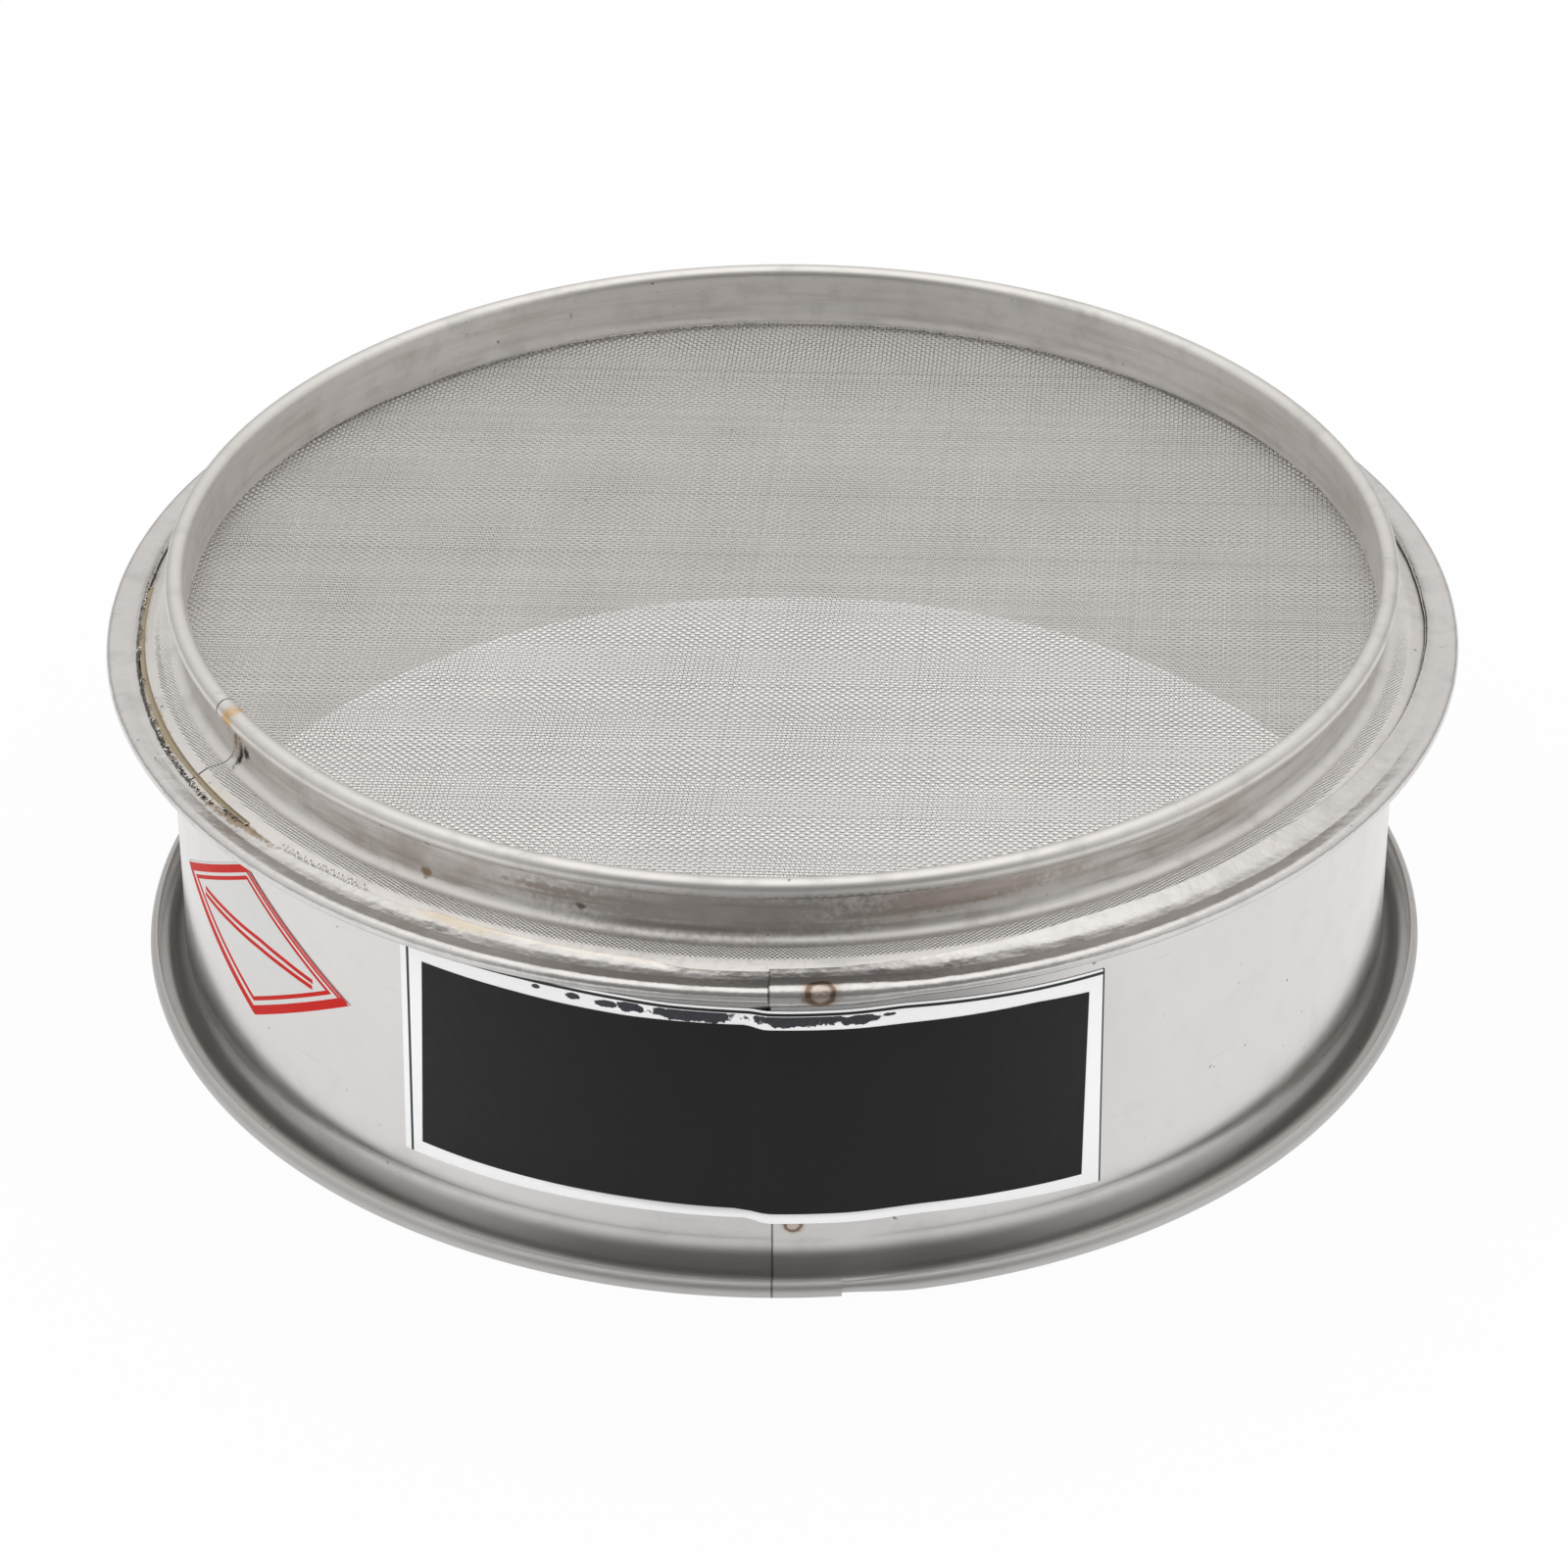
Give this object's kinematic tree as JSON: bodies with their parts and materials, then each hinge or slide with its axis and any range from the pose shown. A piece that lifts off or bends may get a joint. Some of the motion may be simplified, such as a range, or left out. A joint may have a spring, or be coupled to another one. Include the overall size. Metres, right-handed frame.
{
  "type": "drum sieve",
  "caption": "Round metal drum sieve with a flared, rolled mouth, a folded hem that clamps its wire cloth, and a narrow nesting skirt round the cloth.",
  "frame": {"origin": "centre of the circle that the flared mouth stands on", "axes": "+Z along the drum's axis, from the mouth it stands on towards the wire cloth and the skirt; the drum's lap seam and the nameplate face -Y"},
  "size_m": [0.2186, 0.2192, 0.0714],
  "materials": {
    "drum_steel": "satin",
    "skirt_steel": "satin",
    "cloth_wire": "plain woven wire",
    "weld_steel": "heat tinted",
    "solder": "dull",
    "label_foil": "silver foil",
    "label_print": "printed, satin",
    "sticker_film": "printed, white and red"
  },
  "bodies": {
    "root": {"drum_shell": "drum_steel", "skirt_ring": "skirt_steel", "wire_cloth": "cloth_wire", "seam_welds": "weld_steel", "skirt_joint_weld": "weld_steel", "solder_seal": "solder", "nameplate_foil": "label_foil", "nameplate_panel": "label_print", "inspection_sticker": "sticker_film"}
  },
  "joints": []
}
